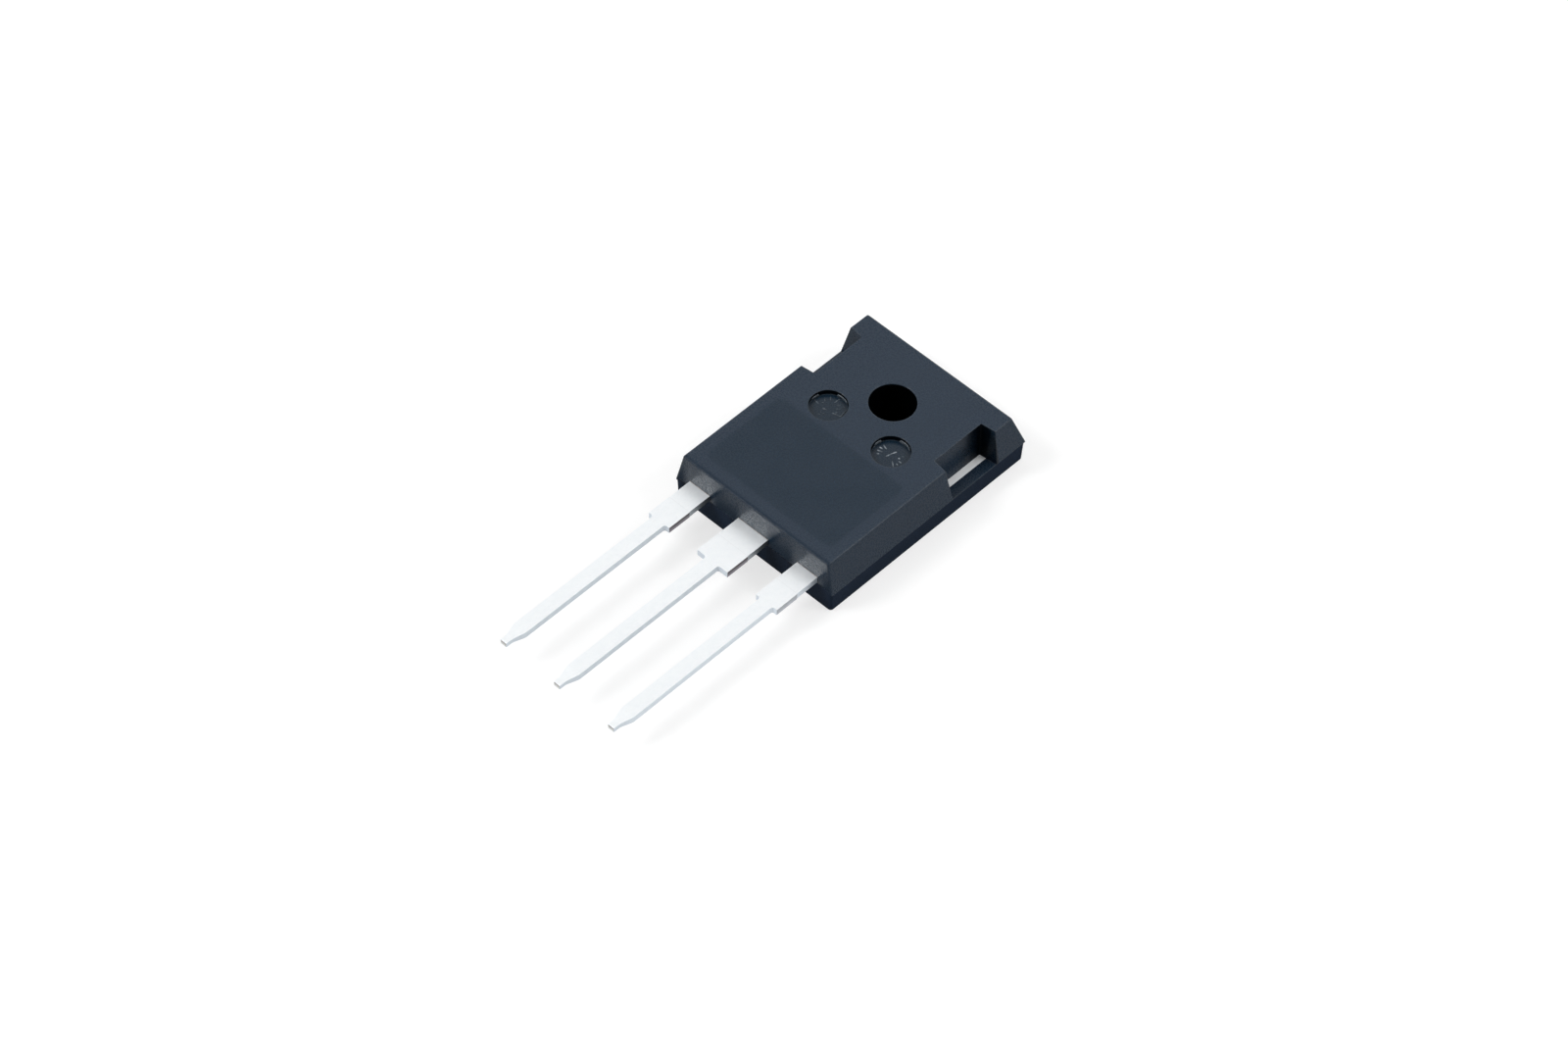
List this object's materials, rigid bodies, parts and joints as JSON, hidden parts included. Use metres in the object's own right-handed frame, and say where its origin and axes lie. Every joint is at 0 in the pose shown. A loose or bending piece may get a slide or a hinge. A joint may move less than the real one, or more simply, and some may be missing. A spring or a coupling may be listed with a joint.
{
  "type": "insulated-gate bipolar transistor",
  "caption": "Power transistor in a flat moulded package with a screw hole, side notches, an exposed heat slug on its back and three straight flat leads.",
  "frame": {"origin": "where the axis of the mounting hole meets the plane of the back", "axes": "+Z along the mounting hole, out of the front face; +Y towards the hole end, so the leads point along -Y; +X across the body, to the right when the front is seen with the leads down"},
  "size_m": [0.0158, 0.041, 0.0049],
  "materials": {
    "moulding_compound": "matte",
    "tinned_copper": "satin",
    "silicon": "satin",
    "solder": "satin",
    "bond_wire": "satin"
  },
  "bodies": {
    "root": {"moulded_body": "moulding_compound", "collector_frame": "tinned_copper", "gate_lead": "tinned_copper", "emitter_lead": "tinned_copper", "igbt_chip": "silicon", "igbt_solder": "solder", "diode_chip": "silicon", "diode_solder": "solder", "gate_wire": "bond_wire", "emitter_wire_1": "bond_wire", "emitter_wire_2": "bond_wire", "emitter_wire_3": "bond_wire", "diode_wire_1": "bond_wire", "diode_wire_2": "bond_wire"}
  },
  "joints": []
}
